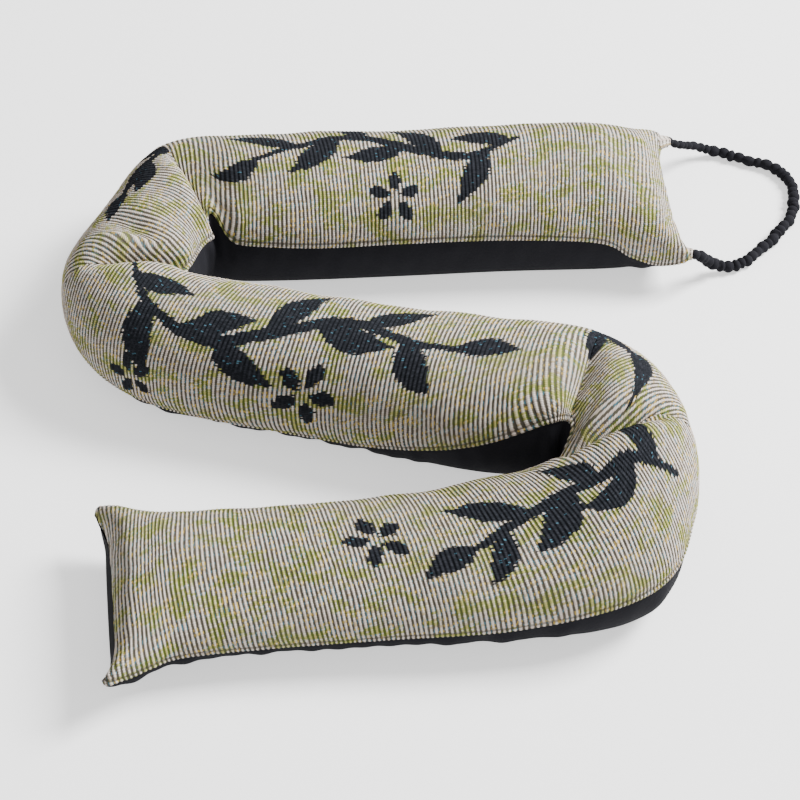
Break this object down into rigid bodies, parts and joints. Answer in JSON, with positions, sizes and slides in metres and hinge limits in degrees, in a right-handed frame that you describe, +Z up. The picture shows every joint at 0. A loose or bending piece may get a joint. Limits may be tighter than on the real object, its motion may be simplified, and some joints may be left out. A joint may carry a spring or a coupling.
{
  "type": "draught excluder",
  "caption": "Long filled cloth tube lying in an S, laid along the foot of a door to stop draughts, with a ribbed patterned front, a plain back and a ruched hanging loop.",
  "frame": {"origin": "centre of the filled body's footprint, on the surface it lies on", "axes": "+X from the free end towards the hanging loop's end, +Z up"},
  "size_m": [0.3774, 0.4062, 0.0622],
  "materials": {
    "tapestry": "ribbed woven tapestry, matt",
    "back_cloth": "plain black cloth, matt",
    "loop_cloth": "gathered black cloth, matt"
  },
  "bodies": {
    "root": {"front_panel": "tapestry", "back_panel": "back_cloth", "hanging_loop": "loop_cloth"}
  },
  "joints": []
}
